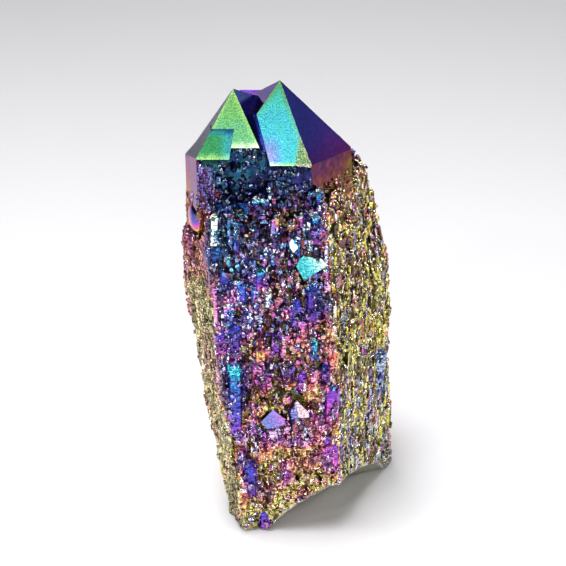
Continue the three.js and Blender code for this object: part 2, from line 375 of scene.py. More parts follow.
# Broad facets on the front whose outlines a plain crystal doesn't give: crystal number, corners.
SLABS = [
    (7, [[2.5, -17.5, 65.3], [6.78, -17.81, 64.89], [8.03, -18.58, 63.91], [5.26, -19.64, 62.57], [3.74, -20.23, 61.81], [2.39, -18.69, 63.77]]),
    (8, [[-4.13, -19.5, 27.95], [-1.88, -18.05, 29.8], [0.26, -19.12, 28.44], [0.51, -19.82, 27.54], [-3.0, -20.29, 26.95]]),
    (9, [[1.77, -17.82, 69.78], [2.57, -18.37, 69.09], [2.57, -19.14, 68.11], [1.86, -19.63, 67.49], [1.24, -19.03, 68.25], [1.15, -18.37, 69.09]]),
]

# The crystal beside the blue to pink one shows two facets that meet at a ridge.
for number, proud, outline_ in (
        (10, 0.18, ((-1.18, -1.91), (0, 0), (0.49, -2.60), (-0.65, -2.76))),
        (11, 0.26, ((0, 0), (2.29, -1.68), (2.39, -2.42), (0.44, -2.55)))):
    SLABS.append((number, [list(FEATURES[8, :3] + [dx, 0.786 * dz - proud, dz]) for dx, dz in outline_]))


def behind_slab(p):
    """Which points lie where a broad facet shows, seen along its own normal."""
    n = direction(0.0, RHOMB)
    up = np.array([0.0, -n[2], -n[1]]) * -1
    out = np.zeros(len(p), bool)
    for _, corners in SLABS:
        c = np.array(corners)
        u, v = c[:, 0], c @ up
        mid = np.array([u.mean(), v.mean()])
        inside = np.ones(len(p), bool)
        turn = 0
        pu, pv = p[:, 0], p @ up
        for i in range(len(c)):
            j = (i + 1) % len(c)
            e = np.array([u[j] - u[i], v[j] - v[i]])
            w = np.array([e[1], -e[0]]) / np.hypot(*e)
            far = w @ (mid - [u[i], v[i]])
            w = -w if far > 0 else w
            inside &= w[0] * (pu - u[i]) + w[1] * (pv - v[i]) < 0.30
        out |= inside & (np.abs((p - c.mean(0)) @ n) < 4.0)
    return out


def beyond(p, n):
    """How far outside the outline the terminations stand, from points p along their outward direction n."""
    out = np.zeros(len(p))
    for _, _, P in TERMS:
        qn, qp = n @ P[:, :2].T, P[:, 3] - p @ P[:, :3].T
        with np.errstate(divide="ignore", invalid="ignore"):
            t = qp / qn
        leave = np.where(qn > 1e-9, t, np.inf).min(1)
        enter = np.where(qn < -1e-9, t, -np.inf).max(1)
        miss = ((np.abs(qn) <= 1e-9) & (qp < 0)).any(1)
        out = np.where((leave > enter) & ~miss & (leave > out) & (leave < 4), leave, out)
    return out


CLASSES = (
    # class, spacing across, spacing up, radii, how proud
    (1, 2.0, 3.5, 0.60, 1.30, -0.34, 0.34),
    (2, 1.04, 1.9, 0.30, 0.66, -0.16, 0.26),
)
LONG = {0: 4.4, 1: 7.0, 2: 6.0, 3: 4.5, 4: 6.0, 5: 8.0}


def random_crystals():
    """Crystals over the whole wall in two sizes, as rows of the same numbers as FEATURES, with the size class."""
    rows, cls = [], []
    for name, cx, cz, r0, r1, stand0, stand1 in CLASSES:
        for side in range(6):
            mid = outline(50)[0]
            width = np.linalg.norm(mid[(side + 1) % 6] - mid[side])
            wider = 1.0 if side in (0, 1, 5) else 1.3        # the back is a little coarser
            nx, nz = max(2, round(width / (cx * wider))), round(84 / (cz * wider))
            gx, gz = np.meshgrid(np.arange(nx), np.arange(nz))
            n = gx.size
            s = (gx.ravel() + 0.5 + rng.uniform(-0.6, 0.6, n)) / nx
            z = (gz.ravel() + 0.5 + rng.uniform(-0.6, 0.6, n) + 0.5 * (gx.ravel() % 2)) * 84 / nz + 0.6
            r = r0 + (r1 - r0) * rng.random(n) ** 1.6
            stand = rng.uniform(stand0, stand1, n)
            x = on_wall(side, np.clip(s, 0, 1), z)[0][:, 0]
            top = {0: np.where(x < -4.6, 77.6 + 0.35 * np.maximum(-9 - x, 0), 80.6), 1: 78.4 + 0 * x, 5: 79.5 + 0 * x}.get(side, 79.0 + 0 * x)
            keep = (z < top - (1.8 if name == 1 else 0.3) + rng.uniform(-2.0, 0.2, n)) & (s > -0.02) & (s < 1.02)
            s, z, r, stand = np.clip(s[keep], 0, 1), z[keep], r[keep], stand[keep]
            p, nrm = on_wall(side, s, z)
            q = np.column_stack([p, z])
            stand = stand + 0.26 * noise(q, 6.5, 5, (1, 1, 1.7)) - 0.05
            stand = np.where(z > 75, np.minimum(stand, 0.05), stand)
            depth = r * 0.866 - np.minimum(stand, 0.5) - beyond(q, nrm)
            long = LONG[side] * (1.0 if name == 1 else 0.5) * (1 - 0.5 * (side == 1) * smooth(z, 48, 60))
            m = len(z)
            rows.append(np.column_stack([
                p - nrm * depth[:, None], z, r, np.minimum(long * rng.uniform(0.7, 1.4, m), z + 5),
                rng.uniform(-3.0, 15.0 if side == 0 else 8.0, m), rng.normal(0, 20 if side == 0 else 11, m),
                FACE_AZ[side] + rng.uniform(-60, 60, m),
                0 * z, 0 * z - 1, 0 * z, 0 * z]))
            cls.append(np.full(m, name))
    return np.concatenate(rows), np.concatenate(cls)


def to_object(name, V, faces, cids):
    me = bpy.data.meshes.new(name)
    me.from_pydata(V.tolist(), [], faces)
    at = me.attributes.new("cid", "FLOAT", "FACE")
    at.data.foreach_set("value", np.asarray(cids, np.float32))
    ob = bpy.data.objects.new(name, me)
    bpy.context.scene.collection.objects.link(ob)
    return ob


def merged(list_of):
    """[(vertices, [(label, polygon)], crystal number)] as one mesh's numbers. A face's id is crystal * 32 + label."""
    V, F, C, off = [], [], [], 0
    for v, faces, k in list_of:
        V.append(v)
        for label, f in faces:
            F.append([i + off for i in f])
            C.append(k * 32 + label)
        off += len(v)
    return np.concatenate(V), F, C


def bulge(at, radii, turn, k):
    """A smooth, rounded crystal face: a stretched ball."""
    bm = bmesh.new()
    bmesh.ops.create_icosphere(bm, subdivisions=4, radius=1.0)
    V = np.array([v.co[:] for v in bm.verts])
    f = [(0, [v.index for v in face.verts]) for face in bm.faces]
    bm.free()
    V = V * np.array(radii)
    a = math.radians(turn)
    R = np.array([[math.cos(a), -math.sin(a), 0], [math.sin(a), math.cos(a), 0], [0, 0, 1]])
    return V @ R.T + np.array(at), f, k


TERMS = terminations()
rows, cls = random_crystals()
rows = np.concatenate([FEATURES, rows])
cls = np.concatenate([np.zeros(len(FEATURES), int), cls])
free = np.ones(len(rows), bool)
for down in (0.0, 0.9, 1.8, 2.7, 3.6):
    free &= ~(behind_slab(rows[:, :3] - [0, 0, down]) & (rows[:, 4] > down))
for at, radii in (([-15.0, -13.2, 71.4], [1.9, 2.9, 4.6]), ([-16.5, -10.2, 63.6], [1.5, 2.4, 4.4]),
                  (FEATURES[8, :3] + [0, -0.4, 0.2], [2.1, 2.2, 2.0])):
    free &= np.linalg.norm((rows[:, :3] - [0, 0, 0.8] - at) / radii, axis=1) > 1.1
free |= np.arange(len(rows)) < len(FEATURES)
rows, cls = rows[free], cls[free]
N = len(rows)
K0 = 16                                             # crystal number of the first row; 0 heart, 1-4 terminations
wild = np.where(cls == 0, 0.14, np.where(rows[:, 7] < -30, 0.2, 0.3))[:, None]
grow = 1 + rng.uniform(-1, 1, (N, 6)) * wild
rise = np.where(np.arange(6) % 2, rng.uniform(0.10, 0.40, (N, 6)), rng.uniform(0, 0.06, (N, 6)))
rise = np.where(cls[:, None] == 0, rise, rise + rng.uniform(0, 0.22, (N, 6)))
P = quartz_planes(rows[:, 3], rows[:, 4], rows[:, 6], grow, rise, rows[:, 8])
shapes = bodies(P)
R = lean_matrix(rows[:, 7], rows[:, 5])
placed = [(b[0] @ R[i].T + rows[i, :3], b[1], K0 + i) for i, b in enumerate(shapes) if b]
log("crystals", N, "made", len(placed))

hV, hF = heart()
big = [(hV, hF, 0)] + [(V, f, 1 + i) for i, (V, f, _) in enumerate(TERMS)]
def slab(corners, k, deep=3.4, taper=0.8):
    """A flat facet with the given corners, on a body that narrows behind it."""
    V = np.array(corners)
    n = np.cross(V[1] - V[0], V[2] - V[1])
    n /= np.linalg.norm(n)
    if n[1] > 0:
        V, n = V[::-1], -n
    m = len(V)
    c = V.mean(0)
    W = np.concatenate([V, c + (V - c) * taper - n * deep])
    F = [(6, list(range(m))), (12, list(range(2 * m - 1, m - 1, -1)))]
    F += [(i % 6, [(i + 1) % m, i, m + i, m + (i + 1) % m]) for i in range(m)]
    return W, F, k


extra = [
    bulge([-15.1, -13.3, 71.4], [1.8, 2.5, 3.6], 0, 5),
    bulge([-16.5, -10.2, 63.6], [1.6, 2.5, 4.4], 0, 6),
] + [slab(c, k) for k, c in SLABS]
everything = [(p[0], p[1], p[2]) for p in extra] + placed
order = np.argsort([-float(np.ptp(p[0], axis=0).max()) for p in everything])

# Batches of crystals that don't touch one another.
boxes = np.array([[*p[0].min(0), *p[0].max(0)] for p in everything])
batches, held = [], []
for i in order:
    b = boxes[i]
    for n, box in enumerate(held):
        q = boxes[box]
        hit = ((q[:, :3] - 0.002 < b[3:]) & (q[:, 3:] + 0.002 > b[:3])).all(1).any()
        if not hit:
            batches[n].append(everything[i])
            box.append(i)
            break
    else:
        batches.append([everything[i]])
        held.append([i])
log("batches", len(batches), [len(b) for b in batches][:40])


def boolean(base, others, operation):
    for ob in others:
        m = base.modifiers.new("b", "BOOLEAN")
        m.operation = operation
        m.solver = "MANIFOLD"
        m.object = ob


base = to_object("work", *merged([big[0]]))
tools = [to_object("work_big%d" % i, *merged([b])) for i, b in enumerate(big[1:])]
tools += [to_object("work_%d" % i, *merged(b)) for i, b in enumerate(batches)]
boolean(base, tools, "UNION")

# The break: level underneath, with a shell-shaped scar at the front right.
bm = bmesh.new()
bmesh.ops.create_cube(bm, size=1.0)
box_v = np.array([v.co[:] for v in bm.verts]) * [120, 120, 60] + [0, 0, -30]
box_f = [(1, [v.index for v in f.verts]) for f in bm.faces]
bm.free()
SCAR_N = np.array([-0.474, 0.594, 0.650]) / np.linalg.norm([-0.474, 0.594, 0.650])
SCAR_MID = np.array([9.3, -12.0, 3.9])
SCAR_R, SCAR_DEEP = 40.0, 1.9
scar_c = SCAR_MID + SCAR_N * (SCAR_DEEP - SCAR_R)
bm = bmesh.new()
bmesh.ops.create_icosphere(bm, subdivisions=7, radius=1.0)
scar_v = np.array([v.co[:] for v in bm.verts])
scar_f = [(2, [v.index for v in f.verts]) for f in bm.faces]
bm.free()
near = scar_v @ SCAR_N
arc = np.degrees(np.arccos(np.clip(near, -1, 1)))
hackle = noise(scar_v * SCAR_R, 2.4, 77) * 0.07 + noise(scar_v * SCAR_R, 0.8, 78) * 0.035
ripple = 0.06 * np.sin(arc * 2.6 + 1.5 * noise(scar_v * SCAR_R, 9.0, 79))
scar_v = scar_v * (SCAR_R + np.where(arc < 40, hackle + ripple, 0))[:, None] + scar_c
cuts = [to_object("work_below", *merged([(box_v, box_f, -1)])), to_object("work_scar", *merged([(scar_v, scar_f, -1)]))]
boolean(base, cuts, "DIFFERENCE")

dg = bpy.context.evaluated_depsgraph_get()
got = bpy.data.meshes.new_from_object(base.evaluated_get(dg))
for ob in tools + cuts + [base]:
    bpy.data.objects.remove(ob)
log("union", len(got.vertices), len(got.polygons), sum(len(p.vertices) - 2 for p in got.polygons))

# Only the body itself is kept: a splinter that the cuts left loose is dropped.
bm = bmesh.new()
bm.from_mesh(got)
bm.verts.ensure_lookup_table()
mark, group = {}, []
for v in bm.verts:
    if v.index in mark:
        continue
    stack, mine = [v], []
    mark[v.index] = len(group)
    while stack:
        w = stack.pop()
        mine.append(w)
        for e in w.link_edges:
            o = e.other_vert(w)
            if o.index not in mark:
                mark[o.index] = len(group)
                stack.append(o)
    group.append(mine)
group.sort(key=len, reverse=True)
bmesh.ops.delete(bm, geom=[v for g in group[1:] for v in g], context="VERTS")
# The large smooth faces are divided finely, so that their film can grade across them.
cid_layer = bm.faces.layers.float["cid"]


def large(f):
    k = int(round(f[cid_layer])) // 32
    return 1 <= k <= 4 and int(round(f[cid_layer])) >= 32


for step_no in range(7):
    wide = [f for f in bm.faces if large(f)]
    bmesh.ops.triangulate(bm, faces=[f for f in wide if len(f.verts) > 3], quad_method="BEAUTY", ngon_method="BEAUTY")
    long_edges = list({e for f in bm.faces if large(f) for e in f.edges if e.calc_length() > 0.85})
    if not long_edges:
        break
    bmesh.ops.subdivide_edges(bm, edges=long_edges, cuts=1, use_grid_fill=False)
bmesh.ops.triangulate(bm, faces=[f for f in bm.faces if large(f) and len(f.verts) > 3])
bm.to_mesh(got)
bm.free()
log("loose parts dropped", len(group) - 1, "triangles", sum(len(p.vertices) - 2 for p in got.polygons))


def numbers(mesh):
    """Corner positions, face of each corner, face ids, normals, centres and areas, in millimetres."""
    nv, nf, nl = len(mesh.vertices), len(mesh.polygons), len(mesh.loops)
    co = np.zeros(nv * 3)
    mesh.vertices.foreach_get("co", co)
    lv = np.zeros(nl, int)
    mesh.loops.foreach_get("vertex_index", lv)
    tot = np.zeros(nf, int)
    mesh.polygons.foreach_get("loop_total", tot)
    nrm = np.zeros(nf * 3)
    mesh.polygons.foreach_get("normal", nrm)
    cen = np.zeros(nf * 3)
    mesh.polygons.foreach_get("center", cen)
    area = np.zeros(nf)
    mesh.polygons.foreach_get("area", area)
    return co.reshape(-1, 3), lv, np.repeat(np.arange(nf), tot), nrm.reshape(-1, 3), cen.reshape(-1, 3), area


# ------------------------------------------------------------------ the metal film
# Film values run up the interference colours: 0 dark, .13 olive, .2 yellow, .27 gold, .33 orange, .4 magenta,
# .47 purple, .54 violet, .61 deep blue, .68 blue, .75 azure, .81 cyan, .87 aqua, .93 green, 1 lime.
FILM_Z = [0, 6, 12, 18, 24, 32, 40, 48, 56, 64, 70, 76, 82]
FILM_SIDE = np.array([
    [.18, .20, .24, .30, .34, .34, .36, .39, .46, .52, .57, .61, .65],     # front
    [.20, .19, .18, .175, .17, .165, .16, .155, .15, .16, .18, .22, .28],  # right
    [.24, .25, .28, .33, .37, .41, .44, .46, .47, .50, .53, .56, .58],     # back right
    [.22, .27, .34, .40, .44, .47, .50, .54, .58, .60, .62, .65, .68],     # back
    [.20, .24, .27, .32, .36, .40, .42, .44, .46, .50, .52, .55, .58],     # back left
    [.16, .17, .19, .22, .24, .25, .25, .25, .26, .27, .29, .33, .42],     # left
])
SPREAD = np.array([.17, .050, .11, .12, .11, .10])   # how far crystals on each side differ

# x, y, z, three radii, film, shade, strength
PATCHES = np.array([
    [0.4, -18.5, 73.5, 2.6, 3.0, 2.4, .13, .75, 1.0],
    [2.6, -18.5, 78.6, 2.2, 3.0, 1.6, .34, .45, .9],
    [-10.6, -18.0, 77.0, 2.0, 4.0, 3.6, .50, .40, .9],
    [-8.6, -18.4, 76.6, 1.0, 4.0, 3.0, .33, .80, .6],
    [-5.4, -18.4, 74.2, 2.2, 4.0, 2.6, .66, .35, .8],
    [7.2, -19.0, 9.6, 2.8, 3.0, 3.0, .20, 1.15, 1.0],
    [4.2, -19.0, 8.4, 1.7, 2.0, 1.5, .70, .35, 1.0],
    [-2.0, -19.0, 35.2, 3.0, 2.0, 2.4, .19, .8, 1.0],
    [-5.4, -19.0, 37.0, 1.4, 2.0, 3.0, .16, .6, .8],
    [2.6, -19.0, 13.2, 2.6, 2.0, 3.6, .20, .9, .8],
    [2.8, -19.6, 15.6, 4.0, 2.5, 2.8, .27, 1.0, .8],
    [1.6, -19.4, 23.4, 4.8, 2.5, 2.5, .44, 1.1, 1.0],
    [3.2, -19.0, 17.6, 2.2, 2.0, 1.6, .30, 1.0, .8],
    [-5.8, -19.0, 11.6, 2.0, 2.0, 4.4, .49, .8, .8],
    [-1.4, -19.0, 4.6, 3.0, 2.0, 1.6, .19, .8, .9],
    [-3.2, -19.0, 10.2, 1.8, 2.0, 2.6, .41, .9, .8],
    [9.5, -18.8, 33.8, 1.9, 3.0, 3.4, .45, .65, 1.0],
    [9.1, -19.2, 19.4, 2.2, 3.0, 3.4, .45, .80, 1.0],
    [11.9, -17.8, 31.0, 1.0, 3.0, 7.0, .22, 1.2, 1.0],
    [9.6, -18.4, 49.0, 1.6, 3.0, 6.0, .24, .9, .6],
    [3.0, -19.0, 62.0, 0.6, 2.0, 5.0, .14, .6, .9],
    [6.0, -19.0, 56.0, 2.0, 2.0, 2.0, .36, 1.0, .8],
    [-2.0, -19.0, 58.0, 2.6, 2.0, 1.4, .33, 1.0, .7],
    [-10.6, -18.6, 58.4, 2.0, 2.0, 2.4, .42, 1.0, .6],
    [-9.8, -18.5, 51.6, 2.0, 3.0, 2.4, .66, .80, 1.0],
    [-9.4, -18.5, 47.2, 2.0, 3.0, 2.2, .54, .90, 1.0],
    [-9.6, -18.6, 40.6, 2.6, 3.0, 1.6, .74, 1.0, 1.0],
    [-9.2, -18.8, 35.4, 3.2, 3.0, 4.4, .62, .60, 1.0],
    [-8.2, -19.0, 28.6, 2.6, 3.0, 2.8, .52, .95, 1.0],
    [-3.6, -19.0, 37.0, 2.3, 2.5, 1.9, .44, .70, 1.0],
    [-7.2, -19.4, 18.2, 2.2, 3.0, 2.8, .58, .80, 1.0],
    [-5.8, -19.6, 13.6, 1.6, 2.5, 1.6, .50, .80, 1.0],
    [0.3, -19.5, 17.0, 1.3, 2.5, 1.4, .50, .50, 1.0],
    [7.6, -19.4, 13.4, 2.4, 3.0, 2.2, .20, 1.2, 1.0],
    [7.4, -18.5, 55.4, 2.6, 3.0, 2.2, .55, .55, 1.0],
    [6.6, -18.6, 51.2, 2.4, 3.0, 1.7, .38, .90, 1.0],
    [-0.9, -18.7, 49.8, 1.5, 3.0, 2.6, .52, .70, 1.0],
    [-12.6, -17.6, 65.3, 2.0, 4.0, 3.0, .69, 1.0, 1.0],
    [-12.4, -17.8, 61.2, 1.8, 4.0, 1.5, .48, 1.0, 1.0],
    [2.4, -19.0, 45.0, 2.6, 2.0, 2.6, .33, 1.0, .6],
    [-2.5, -19.0, 47.0, 2.0, 2.0, 2.0, .45, .8, .6],
    [14.0, -9.0, 77.0, 5.0, 6.0, 2.2, .34, .5, .9],
])


def shoulder_in(p, x0, x1):
    """How far the right shoulder draws in towards the tip."""
    z = p[:, 2]
    return smooth(p[:, 0], x0, x1) * smooth(z, 50, 63) * (1 - 0.35 * smooth(z, 70, 76)) * (1 - smooth(z, 79, 82))


def field(p):
    """Film, shade and spread that a place on the wall has, whatever crystal lies there."""
    side, along, off = wall_of(p)
    off = off + 1.15 * shoulder_in(p, 12.0, 14.8)
    film = np.zeros(len(p))
    spread = np.zeros(len(p))
    n = len(p)
    # neighbours blend within 8% of an edge
    for k in range(6):
        w = (side == k).astype(float)
        w = w * (1 - 0.5 * (1 - smooth(along, 0, 0.08)) - 0.5 * smooth(along, 0.92, 1.0))
        w = w + 0.5 * (side == (k + 1) % 6) * (1 - smooth(along, 0, 0.08))
        w = w + 0.5 * (side == (k - 1) % 6) * smooth(along, 0.92, 1.0)
        film = film + w * np.interp(p[:, 2], FILM_Z, FILM_SIDE[k])
        spread = spread + w * SPREAD[k]
    spread = spread + 0.06 * (side == 1) * smooth(p[:, 2], 44, 64)
    shade = np.where(side == 0, 1 + (0.30 + 0.2 * smooth(p[:, 2], 40, 60)) * noise(p, 2.4, 15) + 0.15 * noise(p, 7.0, 16), 1.0)
    ribs = (side == 1) | (side == 5)                  # the sides are ribbed lengthwise
    film = film + np.where(side == 0, 1.05, 0.75) * spread * noise(p, 5.0, 11) + 0.6 * spread * noise(p, 1.8, 12, (1, 1, 1.6))
    film = film + np.where(ribs, 0.9 * spread * noise(p, 0.55, 13, (1, 1, 10)), 0)
    shade = shade * np.where(ribs, 1 + 0.30 * noise(p, 0.50, 14, (1, 1, 9)), 1) * np.where(side == 0, 1.12 - 0.2 * smooth(p[:, 2], 34, 66), 1.1)
    for x, y, z, rx, ry, rz, f, s, amount in PATCHES:
        w = amount * np.exp(-(((p[:, 0] - x) / rx) ** 2 + ((p[:, 1] - y) / ry) ** 2 + ((p[:, 2] - z) / rz) ** 2) ** 1.5)
        film = film + (f - film) * w
        shade = shade + (s - shade) * w
    return film, shade, spread, side, off


def film_of(p, facet, normal, rnd, tip, radius, top, fall, pale, featured):
    """Film, paleness, shade and side at points p, each on a face of a crystal."""
    film, shade, spread, side, off = field(p)
    below = np.linalg.norm(p - tip, axis=1)
    vary = 0.07 * noise(p, 1.3, 70) + 0.04 * noise(p, 0.5, 71)
    own = np.where(featured, top - fall * np.maximum(below - radius, 0) + vary, film + spread * (rnd - 0.5) * np.where(side == 0, 0.50, 1.2))
    # A crystal's film is thickest at its tip and thins down its sides.
    reach = np.maximum(radius, 0.25)
    tipped = np.exp(-(below / (1.3 * reach)) ** 2)
    front = side == 0
    z = p[:, 2]
    high = smooth(z, 30, 62)
    left = side == 5
    right = side == 1
    lift = np.where(featured, 0.0, (0.04 + 0.10 * rnd) * np.where(front, 1, 0.3))
    own = own + lift * tipped
    # Facets that face the front get a paler, thicker film hue and are painted brighter: partly the film's colour,
    # partly a painted highlight where the front lamp reflects.
    facing = normal @ direction(0, RHOMB)
    facing_film_and_highlight = smooth(facing, 0.88, 0.95) * ~featured
    to = np.where(front, 0.50 + 0.28 * high + 0.12 * (facet - 0.5), np.where(right, 0.20 + 0.55 * (facet > 0.90), own))
    own = own + (to - own) * facing_film_and_highlight * np.where(front | right, 0.8, 0)
    white = np.where(front, 0.12 + 0.75 * facet ** 1.4, 0.25 + 0.65 * facet)
    paler = facing_film_and_highlight * white
    # Other facets: some dark and brown, some grey.
    q = (facet * 7.31) % 1.0
    dark = (q < np.where(front, 0.25 + 0.28 * high, np.where(right, 0.36, np.where(left, 0.30, 0.34)))) & ~featured & (facing_film_and_highlight < 0.5)
    teal = right & ~dark & (q > np.where(z < 34, 0.74, 0.90)) & ~featured
    own = np.where(teal, 0.70 + 0.06 * facet, own)
    own = np.where(dark, np.where(front & ((facet * 11.3) % 1.0 > 0.35), own + 0.05, own * np.where(left, 0.8, 0.4) + 0.03), own)
    dim = np.where(dark, 0.03 + 0.27 * facet, 0.50 + 0.95 * ((facet * 3.77) % 1.0))
    dim = np.where(teal, dim * 0.7, dim)
    dim = np.where(left, 0.25 + 0.75 * dim, dim)
    dim = np.where(featured, 0.55 + 0.55 * facet, dim)
    # A few facets are painted nearly white: painted glints.
    painted_glint = ((facet * 5.77) % 1.0 > np.where(front, 0.950 - 0.035 * smooth(z, 42, 58) * (1 - smooth(z, 68, 74)), np.where(right, 0.955 - 0.035 * smooth(z, 40, 56), 1.1))) & ~featured
    dim = np.where(painted_glint, 2.0, dim)
    own = np.where(painted_glint, np.where(front, 0.80, 0.22), own)
    tone = (facet * 13.7) % 1.0
    grey = np.where(front, 0.09 + 0.04 * (1 - high) + 0.34 * tone ** 1.9,
                    np.where(left, (0.42 + 0.36 * tone) * (1 - 0.5 * smooth(z, 52, 66)), 0.02 + 0.28 * tone ** 1.8))
    grey = np.where(featured, 0.06, grey)
    grey = np.where(teal, 0.50, grey)
    grey = np.where(painted_glint, 0.85, grey)
    brown = right & (tone > 0.80 - 0.18 * smooth(z, 44, 60)) & (tone < 0.92) & ~teal & ~painted_glint
    own = np.where(brown, 0.34 + 0.06 * facet, own)
    dim = np.where(brown, dim * 0.6, dim)
    dim = np.where(front, dim * (1 + 0.20 * smooth(z, 34, 48) * (1 - smooth(z, 66, 72))), dim)
    # Painted shade: crevices are painted dark, and their film is shifted lower.
    painted_crevice_shade = smooth(-off, 0.30, 1.15)
    own = own - 0.16 * painted_crevice_shade * ~featured
    bright = np.where(front, 1.60 - 0.52 * smooth(z, 8, 46) - 0.12 * smooth(z, 60, 70), np.where(left, 0.86 - 0.16 * smooth(z, 30, 60), 1.34 - 0.26 * smooth(z, 30, 60) + 0.40 * right * (1 - smooth(z, 12, 28))))
    # Painted shade in crevices and painted highlights on front-facing facets are multiplied into the shade here.
    shade = shade * bright * (1 - 0.88 * painted_crevice_shade) * (dim + (1 - dim) * facing_film_and_highlight)
    pale = np.maximum(np.maximum(pale * smooth(tipped, 0.2, 0.8), paler), grey)
    return own, pale, shade, side


def paint(mesh, film, pale, shade, kind):
    col = np.stack([film, pale, shade, kind], 1).astype(np.float32)
    at = mesh.attributes.new("film", "FLOAT_COLOR", "CORNER")
    at.data.foreach_set("color", col.ravel())


co, lv, lf, nrm, cen, area = numbers(got)
co[:, 0] -= 1.25 * shoulder_in(co, 12.5, 16.0)
fid = np.zeros(len(got.polygons), np.float32)
got.attributes["cid"].data.foreach_get("value", fid)
fid = np.round(fid).astype(int)
crystal, label = fid // 32, fid % 32
row = np.clip(crystal - K0, 0, N - 1)
is_row = crystal >= K0
crnd = rng.random(N)
p = co[lv]
cl = crystal[lf]
rl = row[lf]
featured = is_row[lf] & (cls[rl] == 0)
tip = np.where(is_row[lf][:, None], rows[rl, :3], p + [0, 0, 30])
radius = np.where(is_row[lf], rows[rl, 3], 1.0)
facet_rnd = rng.random((N + K0 + 1, 32))
film, pale, shade, side = film_of(p, facet_rnd[np.clip(cl, -1, None) + 1, label[lf]], nrm[lf], np.where(is_row[lf], crnd[rl], 0.5), tip, radius,
                                  rows[rl, 9], rows[rl, 10], rows[rl, 11], featured)
kind = np.zeros(len(p))

# The big aqua facet, the mauve and blue tips: front rhombohedral faces of the crystals that stand out.
lab = label[lf]


def set_where(m, f=None, pl=None, sh=None, kd=None):
    for arr, v in ((film, f), (pale, pl), (shade, sh), (kind, kd)):
        if v is not None:
            arr[m] = v[m] if np.ndim(v) else v


# Broad facets whose outlines are drawn: aqua, blue to pink, white; and the turquoise disc's crystal.
m = cl == 7
white = smooth(p[:, 0] - 0.35 * (64.4 - p[:, 2]), 4.6, 5.4)
set_where(m & (lab == 6), 0.800 + 0.03 * noise(p, 0.9, 31), 0.10 + 0.72 * white, 0.32 + 0.34 * white, 0.6)
set_where(m & (lab != 6), 0.62, 0.1, 0.5)
m = cl == 8
set_where(m & (lab == 6), 0.675 - 0.22 * smooth(p[:, 0], -3.0, -1.2), 0.22, 0.40, 1)
set_where(m & (lab != 6), 0.50 + 0.03 * noise(p, 0.8, 32), 0.05, 0.8)
F8z = FEATURES[8, 2] - p[:, 2]
m = cl == 10
set_where(m & (lab == 6), 0.45 + 0.20 * smooth(F8z, 0.2, 2.4), 0.38 - 0.16 * smooth(F8z, 0.2, 2.4), 0.50, 0.7)
m = cl == 11
set_where(m & (lab == 6), 0.41, 0.62, 0.55, 0.7)
set_where(((cl == 10) | (cl == 11)) & (lab != 6), 0.58, 0.1, 0.3)
m = cl == 9
set_where(m, 0.84, 0.85, 0.62, 1)
F8 = featured & (rl == 8)
F8left = nrm[lf][:, 0] < 0
set_where(F8 & (lab >= 6), np.where(F8left, 0.46 + 0.20 * smooth(F8z, 0.3, 1.6), 0.42), np.where(F8left, 0.35, 0.55), 1.0)
set_where(F8 & (lab < 6), np.where(F8left, 0.60, 0.32 + 0.06 * noise(p, 0.8, 91)), np.where(F8left, 0.05, 0.25), np.where(F8left, 0.40, 0.80))
F7 = featured & (rl == 7)
F7z = FEATURES[7, 2] - p[:, 2]
set_where(F7 & (lab < 6), 0.54 - 0.20 * smooth(F7z, 3.0, 11.0), 0.04 + 0.12 * smooth(F7z, 5.0, 10.0), 0.35 + 1.0 * smooth(F7z, 3.0, 7.0))
F6 = featured & (rl == 6)
set_where(F6, np.where(lab >= 6, 0.79, film))
F6p = F6 & (lab < 6)
F6z = FEATURES[6, 2] - p[:, 2]
set_where(F6p, 0.76 - 0.14 * smooth(F6z, 2.5, 5.0) - 0.13 * smooth(F6z, 6, 19))

# Terminations. 1 right, 2 left, 3 step, 4 back.
c, lb = cl, lab
x, y, z = p[:, 0], p[:, 1], p[:, 2]
speck = noise(p, 0.7, 50)


def from_face(t, k):
    """How far inside face k of termination t each point lies, in mm."""
    P = TERMS[t][-1][k]
    return P[3] - p @ P[:3]


def along_edges(t, keys, wide):
    """1 on the edges a face shares with faces `keys` of termination t, 0 further in than `wide` mm."""
    return np.max([smooth(-from_face(t, k), -wide, 0.0) for k in keys], axis=0)


m = (c == 1) & ((lb == 0) | (lb == 12))               # the cyan face and the chip on it
e = y + 17.2 + 0.12 * noise(p, 0.9, 51)               # mm above its lower edge
f = 0.805 + 0.055 * smooth(z, 90.5, 95.5) + 0.02 * speck
lav = smooth(-x, -0.8, 2.6) * smooth(-z, -89.5, -85.5)
f = f - 0.16 * lav + 0.05 * np.where(lb == 12, 1.0, 0.0)
f = f + 0.07 * smooth(x, 0.5, 4.5) * smooth(-z, -88.5, -84.5)
# Painted highlight: a pale, bright rim along the lower edge of the cyan face.
rim = smooth(-e, -0.45, -0.05)
f = np.where(rim > 0.4, 0.97, f)
# The chip facet is painted paler and brighter: a painted highlight.
edge = np.where(lb == 12, 1.0, 0.0)
